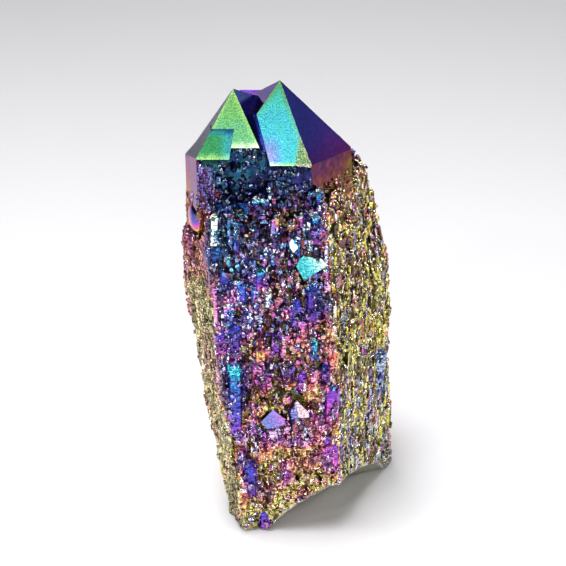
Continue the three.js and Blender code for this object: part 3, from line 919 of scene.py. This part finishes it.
# Painted highlight along the edges this face shares with the faces beside it.
painted_side_highlight = along_edges(0, (1, 2), 0.7)
f = f + 0.07 * painted_side_highlight
set_where(m, f + 0.04 * edge, 0.08 + 0.26 * lav + 0.35 * rim + 0.35 * edge + 0.15 * painted_side_highlight, 0.25 + 0.16 * lav + 0.20 * rim + 0.75 * edge - 0.03 * painted_side_highlight, 1)
down = along_edges(0, (6, 7), 3.2)
set_where((c == 1) & (lb == 1), 0.612 - 0.075 * smooth(x, 2, 11) - 0.05 * smooth(noise(p, 2.6, 52), 0.2, 0.7) * smooth(x, 6, 10) - 0.075 * down, 0.05, 0.52 - 0.20 * down, 1)
set_where((c == 1) & (lb == 2), 0.62 - 0.30 * smooth(z, 89.3, 90.1) + 0.22 * smooth(z, 90.5, 91.6) + 0.06 * noise(p, 1.2, 82), 0.15, 0.8, 1)
set_where((c == 1) & ((lb == 3) | (lb == 4)), 0.62 - 0.10 * smooth(x, 0, 8), 0.05, 0.8, 1)
# Painted shade: this prism face is darkened along its edge under the cyan face and the chip.
set_where((c == 1) & (lb == 5), 0.66 + 0.05 * noise(p, 1.4, 33) - 0.13 * smooth(noise(p, 2.2, 34), 0.1, 0.6) + 0.06 * noise(p, 0.7, 83), 0.10, 0.21 * (1 - 0.75 * along_edges(0, (0, 12), 1.1)) * (1 + 0.6 * noise(p, 0.9, 84)), 0.5)
up = along_edges(0, (1,), 2.4)
set_where((c == 1) & (lb == 6), 0.36 + 0.09 * noise(p, 0.5, 35) - 0.10 * smooth(x, 8, 13) + 0.07 * up, 0.10, (0.22 - 0.02 * up) * (1 + 0.7 * noise(p, 0.5, 53)), np.where(z > 79.2, 1.0, 0.7))
set_where((c == 1) & (lb == 7), 0.27 + 0.05 * noise(p, 1.0, 54), 0.1, 0.6, 1)
set_where((c == 1) & (lb > 7) & (lb < 11), 0.55 - 0.08 * smooth(-z, -82, -74), 0, 0.6, 1)
set_where((c == 1) & (lb == 11), 0.62, 0.30, 1.0, 1)
m = (c == 2) & (lb == 0)
e = y + 14.9 + 0.15 * noise(p, 0.8, 55)
# Painted highlight: a pale, bright rim along the lower edge of the green face.
rim = smooth(-e, -0.9, -0.1)
# Painted highlight along the edges this face shares with the faces beside it.
painted_side_highlight = along_edges(1, (1, 2), 0.7)
set_where(m, 0.905 + 0.035 * smooth(z, 88, 93) + 0.02 * speck + 0.04 * np.maximum(rim, painted_side_highlight), 0.22 + 0.40 * rim + 0.10 * painted_side_highlight, 0.25 + 0.18 * rim + 0.05 * painted_side_highlight, 1)
# Painted light: the lower part of this face, in the shade between the tips, is painted paler and brighter.
set_where((c == 2) & (lb == 1), 0.645 + 0.03 * noise(p, 1.2, 85), 0.12 + 0.22 * smooth(-z, -89, -85), 0.75 + 0.7 * smooth(-z, -89, -86), 1)
set_where((c == 2) & (lb == 2), 0.58, 0.52, 0.62, 1)
set_where((c == 2) & ((lb == 3) | (lb == 4)), 0.56, 0.3, 0.7, 1)
# Painted shade: the prism face is darkened in an arch under the edge of the face above.
arch = along_edges(1, (0,), 1.6)
set_where((c == 2) & (lb == 5), 0.735 - 0.16 * smooth(noise(p, 2.0, 36), 0.15, 0.6) + 0.09 * noise(p, 0.8, 40) + 0.07 * arch, 0.10, 0.185 * (1 - 0.72 * arch) * (1 + 0.6 * noise(p, 0.9, 86)), 0.5)
set_where((c == 2) & ((lb == 6) | (lb == 7)), 0.44 - 0.12 * smooth(-z, -84, -76) + 0.03 * noise(p, 0.5, 56, (1, 1, 9)), 0.25, 0.55, 1)
set_where((c == 2) & (lb > 7), 0.55, 0, 0.7, 1)
m = (c == 3) & (lb == 0)
e = y + 16.5 + 0.15 * noise(p, 0.8, 57)
# Painted highlight: a pale, bright rim along the lower edge of the step's face.
rim = smooth(-e, -0.7, -0.1)
top = smooth(z, 88.3, 89.1)
set_where(m, 0.905 - 0.09 * smooth(x, -11.5, -9.2) + 0.06 * rim - 0.10 * top, 0.08 + 0.3 * rim, (0.155 + 0.15 * rim) * (1 - 0.4 * top), 1)
set_where((c == 3) & (lb == 1), 0.58, 0.55, 0.55, 1)
set_where((c == 3) & ((lb == 2) | (lb == 3)), 0.72, 0, 0.25, 1)
# Painted shade: the prism face is darkened in an arch under the edge of the face above.
arch = along_edges(2, (0,), 1.4)
set_where((c == 3) & (lb == 4), 0.755 - 0.09 * speck + 0.08 * arch, 0.1, 0.18 * (1 - 0.70 * arch) * (1 + 0.6 * noise(p, 0.9, 87)), 0.5)
set_where((c == 3) & (lb > 4), 0.44, 0.25, 0.5, 1)
# Fine slanting ridges run down from the outer corner of these faces.
over = (z - 78.9) - (-11.4 - x) * 1.97
ridged = ((c == 2) & (lb == 5) | (c == 3) & (lb == 4)) & (over < 0.25 * noise(p, 0.8, 65)) & (x < -8.5)
across, along = x * 0.891 + z * 0.453, x * 0.453 - z * 0.891
lines = noise(np.stack([across, 0 * x, along / 9], 1), 0.42, 66)
set_where(ridged, 0.40 + 0.20 * lines, 0.06, 0.26 + 0.26 * lines, 0)
set_where((c == 4) & (lb == 0), 0.50 + 0.06 * noise(p, 1.2, 37) - 0.18 * smooth(x, -5.0, -3.6), 0.05, 0.42, 1)
set_where((c == 4) & (lb > 0), 0.55, 0, 0.6, 1)
# Smooth bulges on the left, and the ridges.
r5 = np.hypot((p[:, 0] + 15.6) / 1.0, (p[:, 2] - 72.6) / 2.2)
set_where(c == 5, 0.62 - 0.24 * smooth(r5, 0.3, 1.3) - 0.18 * smooth(r5, 1.2, 1.75), 0.12 + 0.3 * smooth(-p[:, 0], 16.0, 16.8), 0.9, 1)
set_where(c == 6, 0.42 + 0.06 * noise(p, 1.0, 38, (1, 1, 4)) - 0.2 * smooth(-p[:, 2], -62, -59), 0.25, 0.55 + 0.25 * noise(p, 0.5, 64, (1, 1, 6)), 0.3)
# Painted shade: the heart, seen only in the gaps between crystals, is painted dark.
heart_face = c == 0
corner_top = smooth(p[:, 2], 70, 74) * smooth(-p[:, 0], 0, 3)
set_where(heart_face, 0.11 + 0.10 * noise(p, 2.0, 60) + 0.57 * corner_top, 0.05, 0.30 + 0.22 * corner_top + 0.08 * noise(p, 0.6, 61), 0)
streak = featured & (rl == len(FRONT))
set_where(streak, 0.69 + 0.10 * noise(p, 1.5, 62), 0.45 + 0.25 * noise(p, 1.2, 63), 0.9)
# The break.
broken = cl < 0
# Painted shade: the heart's upward faces near the top are painted dark.
heart_top = heart_face & (nrm[lf][:, 2] > 0.5) & (p[:, 2] > 70)
set_where(heart_top, 0.50 + 0.08 * noise(p, 1.5, 92), 0.05, 0.16, 0)
set_where(broken, 0.30 + 0.25 * noise(p, 7.0, 41), 0.8, 1.0, 2)
to_scar = np.linalg.norm(p - scar_c, axis=1) - SCAR_R
face_rim = (~broken) & (to_scar < 0.30) & (p[:, 2] > 0.5)
set_where(face_rim, None, 0.8, 1.0, None)
paint(got, film, pale, shade, kind)


# ------------------------------------------------------------------ micro druse
def scattered(count, weight, seed):
    """Places on the surface just made, more of them where `weight` is larger, and the faces they lie on."""
    g = np.random.default_rng(seed)
    w = area * weight
    pick = g.choice(len(area), count, p=w / w.sum())
    first = np.searchsorted(lf, np.arange(len(area)))
    tot = np.bincount(lf, minlength=len(area))
    k = g.integers(0, np.maximum(tot[pick] - 2, 1))
    a, b, c3 = co[lv[first[pick]]], co[lv[first[pick] + k + 1]], co[lv[first[pick] + k + 2]]
    u, v = g.random(count), g.random(count)
    flip = u + v > 1
    u, v = np.where(flip, 1 - u, u), np.where(flip, 1 - v, v)
    return a + (b - a) * u[:, None] + (c3 - a) * v[:, None], pick, g


SIDES = {"front": (0,), "right": (1,), "left": (5,), "back_right": (2,), "back": (3,), "back_left": (4,)}
face_side, face_along, face_off = wall_of(cen)
smooth_face = np.zeros(len(area), bool)
smooth_face[lf[(kind >= 1)]] = True
feat_face = is_row & (cls[row] == 0)
big_tip = (rows[row, 3] > 0.45) & (label >= 6) & is_row
cover = np.where(smooth_face, 0, np.where(feat_face, np.where(label >= 6, 0.0, np.where((row == 7) | (row == 8), 0.15, 0.95)), np.where(big_tip, 0.10, 1.0)))
cover = cover * np.where((crystal == 0) & (nrm[:, 2] > 0.5) & (cen[:, 2] > 70), 3.0, 1.0)
cover = cover * (crystal >= 0) * (cen[:, 2] > 0.4)
cover = cover * np.where(nrm[:, 2] < -0.3, 0.15, 1)
log("painted")

MICRO = {
    # side: count, length, r0, r1
    "front": (7800, 1.6, 0.12, 0.50),
    "right": (7600, 2.8, 0.10, 0.32),
    "left": (6200, 4.5, 0.10, 0.26),
    "back_right": (3600, 2.4, 0.12, 0.36),
    "back": (4600, 2.4, 0.12, 0.36),
    "back_left": (4200, 2.4, 0.12, 0.36),
}
RING = np.arange(6) * math.pi / 3
pieces = []


def to_row(V):
    return (V + SHIFT) * MM


for i, (name, sides) in enumerate(SIDES.items()):
    count, long, r0, r1 = MICRO[name]
    at, pick, g = scattered(count, cover * np.isin(face_side, sides), 900 + i)
    r = r0 + (r1 - r0) * g.random(count) ** 2.0
    n = nrm[pick]
    side_n = direction(FACE_AZ[face_side[pick]])
    out = n + side_n * 0.3
    out /= np.linalg.norm(out, axis=1)[:, None]
    proud = r * g.uniform(0.0, 0.6, count)
    tip = at + out * proud[:, None]
    tip[:, 2] += r * g.uniform(0.0, 0.8, count)
    M = lean_matrix(FACE_AZ[face_side[pick]] + g.uniform(-90, 90, count), g.uniform(-4, 20 if name == "front" else 13, count))
    spin = np.radians(g.normal(0, 25 if name == "front" else 10, count) + 30)
    shape = r[:, None] * (1 + g.uniform(-0.38, 0.38, (count, 6)))
    L = r * long * g.uniform(0.6, 1.6, count)
    if name == "right":
        L = L * (1 - 0.5 * smooth(tip[:, 2], 48, 60))
    wide = g.uniform(0.72, 1.35, count)[:, None]
    ang = RING[None] + spin[:, None]
    drop = shape * 0.787 + r[:, None] * g.uniform(0, 0.40, (count, 6)) * (np.arange(6) % 2)

    def stood(L):
        V = np.zeros((count, 13, 3))
        V[:, 1:7, 0] = shape * np.sin(ang) * wide
        V[:, 1:7, 1] = -shape * np.cos(ang)
        V[:, 1:7, 2] = -drop
        V[:, 7:13, 0] = V[:, 1:7, 0] * 0.75
        V[:, 7:13, 1] = V[:, 1:7, 1] * 0.75
        V[:, 7:13, 2] = -drop - L[:, None]
        V = np.einsum("nij,nkj->nki", M, V) + tip[:, None]
        inside = (V[:, :, 2].min(1) > 0.02) & (np.linalg.norm(V - scar_c, axis=2).min(1) > SCAR_R + 0.12)
        inside &= ~(behind_slab(tip) | behind_slab(tip - [0, 0, 0.5]))
        return V, inside & (V[:, :, 1].min(1) > -20.4) & (V[:, :, 0].max(1) < 22.4) & (V[:, :, 0].min(1) > -18.7)

    V, inside = stood(L)
    V, inside = stood(np.where(inside, L, r * 0.25))
    V, tip, r, at, pick = V[inside], tip[inside], r[inside], at[inside], pick[inside]
    count = len(r)
    F = []
    for k in range(6):
        j = (k + 1) % 6
        F.append([0, 1 + k, 1 + j])
    quads = [[1 + k, 7 + k, 7 + (k + 1) % 6, 1 + (k + 1) % 6] for k in range(6)]
    low = [12, 11, 10, 9, 8, 7]
    tri = np.array(F)
    quad = np.array(quads)
    lo6 = np.array(low)[None, None]
    verts = V.reshape(-1, 3)
    base_i = np.arange(count)[:, None, None] * 13
    loops = np.concatenate([
        (tri[None] + base_i).reshape(count, -1), (quad[None] + base_i).reshape(count, -1), (lo6 + base_i).reshape(count, -1)], 1)
    sizes = np.tile(np.array([3] * 6 + [4] * 6 + [6]), count)
    starts = np.concatenate([[0], np.cumsum(sizes)[:-1]])
    me = bpy.data.meshes.new("druse_" + name)
    me.vertices.add(len(verts))
    me.vertices.foreach_set("co", to_row(verts).astype(np.float32).ravel())
    me.loops.add(loops.size)
    me.loops.foreach_set("vertex_index", loops.ravel().astype(np.int32))
    me.polygons.add(len(sizes))
    me.polygons.foreach_set("loop_start", starts.astype(np.int32))
    me.update(calc_edges=True)
    me.validate()
    ids = np.repeat(np.arange(count), 18 + 24 + 6)
    pv = verts[loops.ravel()]
    rnd = g.random(count)
    tl, rl2 = tip[ids], r[ids]
    zero = np.zeros(len(ids))
    faces_n = np.zeros(len(me.polygons) * 3)
    me.polygons.foreach_get("normal", faces_n)
    fn = np.repeat(faces_n.reshape(-1, 3), sizes, axis=0)
    film2, pale2, shade2, _ = film_of(pv, np.repeat(g.random(count * 13), sizes), fn, rnd[ids], tl, rl2, zero, zero, zero, np.zeros(len(ids), bool))
    # it takes part of the film of the crystal it stands on
    many = np.maximum(np.bincount(lf, minlength=len(area)), 1)
    under = np.bincount(lf, film, minlength=len(area)) / many
    under_sh = np.bincount(lf, shade, minlength=len(area)) / many
    mixw = np.where(feat_face[pick], 0.75, 0.60 if name == "front" else 0.5)[ids]
    film2 = film2 * (1 - mixw) + (under[pick][ids] + 0.05 * (rnd[ids] - 0.4)) * mixw
    shade2 = shade2 * (1 - mixw) + under_sh[pick][ids] * mixw
    # Painted light: micro crystals on the ledge at the top left of the heart are painted brighter, and their film
    # bluer.
    painted_ledge_light = smooth(pv[:, 2], 74, 76) * smooth(-pv[:, 0], 0, 3) * smooth(pv[:, 1], -18.0, -17.2)
    shade2 = shade2 * (0.40 + 1.2 * g.random(count))[ids] + 0.35 * painted_ledge_light
    film2 = film2 + (0.66 - film2) * 0.7 * painted_ledge_light
    # Painted highlight: a few micro crystals are painted pale, as sparkles.
    spark = (g.random(count) < (0.09 if name == "front" else 0.06))[ids]
    pale2 = np.where(spark, 0.60, pale2 * 0.8)
    paint(me, film2, pale2, shade2, zero)
    ob = bpy.data.objects.new("druse_" + name, me)
    bpy.context.scene.collection.objects.link(ob)
    pieces.append(ob)
    log(name, count, "crystals", sum(len(f.vertices) - 2 for f in me.polygons), "triangles")

co_row = to_row(co)
got.vertices.foreach_set("co", co_row.astype(np.float32).ravel())
got.update()
got.name = "quartz_body"
body = bpy.data.objects.new("quartz_body", got)
bpy.context.scene.collection.objects.link(body)
pieces.insert(0, body)


# ------------------------------------------------------------------ materials
def srgb(r, g, b):
    return tuple((c / 255 / 12.92) if c / 255 <= 0.04045 else ((c / 255 + 0.055) / 1.055) ** 2.4 for c in (r, g, b)) + (1,)


STOPS = [
    (0.00, (18, 13, 10)), (0.06, (72, 60, 22)), (0.12, (150, 138, 42)), (0.185, (222, 212, 70)), (0.25, (240, 185, 60)),
    (0.31, (236, 125, 70)), (0.37, (222, 70, 130)), (0.43, (190, 50, 175)), (0.49, (130, 45, 195)), (0.55, (80, 45, 190)),
    (0.61, (35, 45, 175)), (0.67, (18, 75, 185)), (0.73, (20, 140, 210)), (0.79, (50, 205, 230)), (0.85, (60, 220, 200)),
    (0.90, (50, 195, 120)), (0.95, (90, 205, 60)), (1.00, (165, 230, 60)),
]


def node(nt, kind, at=(0, 0), **values):
    n = nt.nodes.new(kind)
    n.location = at
    for k, v in values.items():
        if k in n.inputs:
            n.inputs[k].default_value = v
        else:
            setattr(n, k, v)
    return n


def aura_material():
    mat = bpy.data.materials.new("aura_film")
    mat.use_nodes = True
    nt = mat.node_tree
    nt.nodes.clear()
    L = nt.links.new
    out = node(nt, "ShaderNodeOutputMaterial", (900, 0))
    bsdf = node(nt, "ShaderNodeBsdfPrincipled", (600, 0))
    L(bsdf.outputs["BSDF"], out.inputs["Surface"])
    bsdf.inputs["Metallic"].default_value = 1.0
    att = node(nt, "ShaderNodeAttribute", (-1200, 0), attribute_name="film", attribute_type="GEOMETRY")
    sep = node(nt, "ShaderNodeSeparateColor", (-1000, 0))
    L(att.outputs["Color"], sep.inputs["Color"])
    tc = node(nt, "ShaderNodeTexCoord", (-1400, -400))
    mm = node(nt, "ShaderNodeVectorMath", (-1200, -400), operation="SCALE")
    mm.inputs["Scale"].default_value = 1000.0
    L(tc.outputs["Object"], mm.inputs[0])
    grain = node(nt, "ShaderNodeTexNoise", (-1000, -300), Scale=4.8, Detail=4.0, Roughness=0.7)
    L(mm.outputs[0], grain.inputs["Vector"])
    # film + grain
    g1 = node(nt, "ShaderNodeMath", (-800, -300), operation="SUBTRACT")
    L(grain.outputs["Fac"], g1.inputs[0])
    g1.inputs[1].default_value = 0.5
    g2 = node(nt, "ShaderNodeMath", (-600, -200), operation="MULTIPLY_ADD")
    L(g1.outputs[0], g2.inputs[0])
    g2.inputs[1].default_value = 0.10
    L(sep.outputs["Red"], g2.inputs[2])
    ramp = node(nt, "ShaderNodeValToRGB", (-400, 0))
    cr = ramp.color_ramp
    cr.interpolation = "LINEAR"
    while len(cr.elements) > 1:
        cr.elements.remove(cr.elements[-1])
    for i, (pos, c) in enumerate(STOPS):
        e = cr.elements[0] if i == 0 else cr.elements.new(pos)
        e.position = pos
        e.color = srgb(*c)
    L(g2.outputs[0], ramp.inputs["Fac"])
    palemix = node(nt, "ShaderNodeMix", (-100, 0), data_type="RGBA", blend_type="MIX")
    L(sep.outputs["Green"], palemix.inputs[0])
    L(ramp.outputs["Color"], palemix.inputs[6])
    palemix.inputs[7].default_value = srgb(220, 224, 210)
    sh = node(nt, "ShaderNodeMix", (150, 0), data_type="RGBA", blend_type="MULTIPLY")
    sh.inputs[0].default_value = 1.0
    L(palemix.outputs[2], sh.inputs[6])
    L(sep.outputs["Blue"], sh.inputs[7])
    # The film is finely speckled all over.
    speck = node(nt, "ShaderNodeMapRange", (150, 200))
    L(grain.outputs["Fac"], speck.inputs["Value"])
    for k, v in (("From Min", 0.38), ("From Max", 0.62), ("To Min", 0.38), ("To Max", 1.62)):
        speck.inputs[k].default_value = v
    # Fine crinkles run across each crystal, with painted shade darkening their hollows; the smooth faces have none.
    flat = node(nt, "ShaderNodeVectorMath", (-1000, -600), operation="MULTIPLY")
    L(mm.outputs[0], flat.inputs[0])
    flat.inputs[1].default_value = (1.4, 1.4, 3.8)
    crinkle = node(nt, "ShaderNodeTexNoise", (-800, -600), Scale=1.0, Detail=3.0, Roughness=0.6)
    L(flat.outputs[0], crinkle.inputs["Vector"])
    smoothness = node(nt, "ShaderNodeMapRange", (-600, -700))
    L(att.outputs["Alpha"], smoothness.inputs["Value"])
    smoothness.inputs["To Min"].default_value = 0.50
    smoothness.inputs["To Max"].default_value = 0.03
    painted_hollow_shade = node(nt, "ShaderNodeMapRange", (-600, -500))
    L(crinkle.outputs["Fac"], painted_hollow_shade.inputs["Value"])
    for k, v in (("From Min", 0.38), ("From Max", 0.62), ("To Min", 0.24), ("To Max", 1.54)):
        painted_hollow_shade.inputs[k].default_value = v
    # Prism faces are finely striped crosswise.
    layer = node(nt, "ShaderNodeVectorMath", (-1000, -800), operation="MULTIPLY")
    L(mm.outputs[0], layer.inputs[0])
    layer.inputs[1].default_value = (0.6, 0.6, 5.0)
    stripe = node(nt, "ShaderNodeTexNoise", (-800, -800), Scale=1.0, Detail=2.0, Roughness=0.5)
    L(layer.outputs[0], stripe.inputs["Vector"])
    striae = node(nt, "ShaderNodeMapRange", (-600, -850))
    L(stripe.outputs["Fac"], striae.inputs["Value"])
    for k, v in (("From Min", 0.40), ("From Max", 0.60), ("To Min", 0.58), ("To Max", 1.34)):
        striae.inputs[k].default_value = v
    carved = node(nt, "ShaderNodeMath", (-500, -600), operation="MULTIPLY")
    L(painted_hollow_shade.outputs["Result"], carved.inputs[0])
    L(striae.outputs["Result"], carved.inputs[1])
    soften = node(nt, "ShaderNodeMix", (-400, -500), data_type="FLOAT")
    L(att.outputs["Alpha"], soften.inputs[0])
    L(carved.outputs[0], soften.inputs[2])
    soften.inputs[3].default_value = 1.0
    glitter = node(nt, "ShaderNodeMath", (180, 100), operation="POWER")
    L(speck.outputs["Result"], glitter.inputs[0])
    stronger = node(nt, "ShaderNodeMath", (180, 50), operation="MULTIPLY_ADD")
    L(att.outputs["Alpha"], stronger.inputs[0])
    stronger.inputs[1].default_value = -0.12
    stronger.inputs[2].default_value = 1.0
    L(stronger.outputs[0], glitter.inputs[1])
    both = node(nt, "ShaderNodeMath", (200, 0), operation="MULTIPLY")
    L(glitter.outputs[0], both.inputs[0])
    L(soften.outputs[0], both.inputs[1])
    fleck = node(nt, "ShaderNodeMix", (300, 100), data_type="RGBA", blend_type="MULTIPLY", clamp_result=True)
    fleck.inputs[0].default_value = 1.0
    L(sh.outputs[2], fleck.inputs[6])
    L(both.outputs[0], fleck.inputs[7])
    L(fleck.outputs[2], bsdf.inputs["Base Color"])
    rough = node(nt, "ShaderNodeMapRange", (150, -250))
    L(grain.outputs["Fac"], rough.inputs["Value"])
    rough.inputs["From Min"].default_value = 0.3
    rough.inputs["From Max"].default_value = 0.7
    rough.inputs["To Min"].default_value = 0.08
    rough.inputs["To Max"].default_value = 0.22
    L(rough.outputs["Result"], bsdf.inputs["Roughness"])
    bump = node(nt, "ShaderNodeBump", (350, -450))
    L(smoothness.outputs["Result"], bump.inputs["Strength"])
    bump.inputs["Distance"].default_value = 0.00022
    L(crinkle.outputs["Fac"], bump.inputs["Height"])
    L(bump.outputs["Normal"], bsdf.inputs["Normal"])
    return mat


mat = aura_material()
for ob in pieces:
    ob.data.materials.clear()
    ob.data.materials.append(mat)
    ob.data.polygons.foreach_set("use_smooth", np.zeros(len(ob.data.polygons), bool))
    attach(ob, "root")
    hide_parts(NODE)

# ------------------------------------------------------------------ floor and light
bm = bmesh.new()
bmesh.ops.create_grid(bm, x_segments=8, y_segments=8, size=1.6)
fm = bpy.data.meshes.new("floor")
bm.to_mesh(fm)
bm.free()
floor = bpy.data.objects.new("floor", fm)
bpy.context.scene.collection.objects.link(floor)
floor.location = (0, 0, -0.0002)
fmat = bpy.data.materials.new("pale_floor")
fmat.use_nodes = True
fb = fmat.node_tree.nodes["Principled BSDF"]
fb.inputs["Base Color"].default_value = srgb(208, 207, 209)
fb.inputs["Roughness"].default_value = 0.9
fb.inputs["Specular IOR Level"].default_value = 0.1
fm.materials.append(fmat)


def softbox(name, az, el, dist, size, radiance, aim=(0, 0, 0.045), spread=180):
    d = bpy.data.lights.new(name, "AREA")
    d.shape = "RECTANGLE"
    d.size = size
    d.size_y = size
    d.energy = radiance * math.pi * d.size * d.size_y
    d.spread = math.radians(spread)
    ob = bpy.data.objects.new(name, d)
    bpy.context.scene.collection.objects.link(ob)
    ob.location = Vector(aim) + view_dir(az, el) * dist
    ob.rotation_euler = (-view_dir(az, el)).to_track_quat("-Z", "Y").to_euler()
    return ob


world = bpy.data.worlds.new("world")
bpy.context.scene.world = world
world.use_nodes = True
bg = world.node_tree.nodes["Background"]
bg.inputs["Color"].default_value = (0.88, 0.90, 0.95, 1)
bg.inputs["Strength"].default_value = 0.035
softbox("front_soft", 0, 40, 0.70, 0.19, 5.4)
softbox("top_soft", 215, 76, 0.8, 0.42, 6.0, aim=(0, -0.22, 0), spread=80)
softbox("side_soft", 105, 15, 0.8, 0.45, 0.6)
softbox("rim_soft", 223, 8, 0.8, 0.35, 0.7)
softbox("spark_right", 42, 52, 0.8, 0.035, 125)
softbox("spark_left", -38, 44, 0.8, 0.035, 125)
softbox("spark_low", 14, 16, 0.8, 0.035, 90)

scene = bpy.context.scene
scene.view_settings.view_transform = "Standard"
scene.view_settings.look = "None"
scene.view_settings.exposure = 0.0
scene.view_settings.gamma = 1.0

bpy.context.view_layer.update()
log("done")
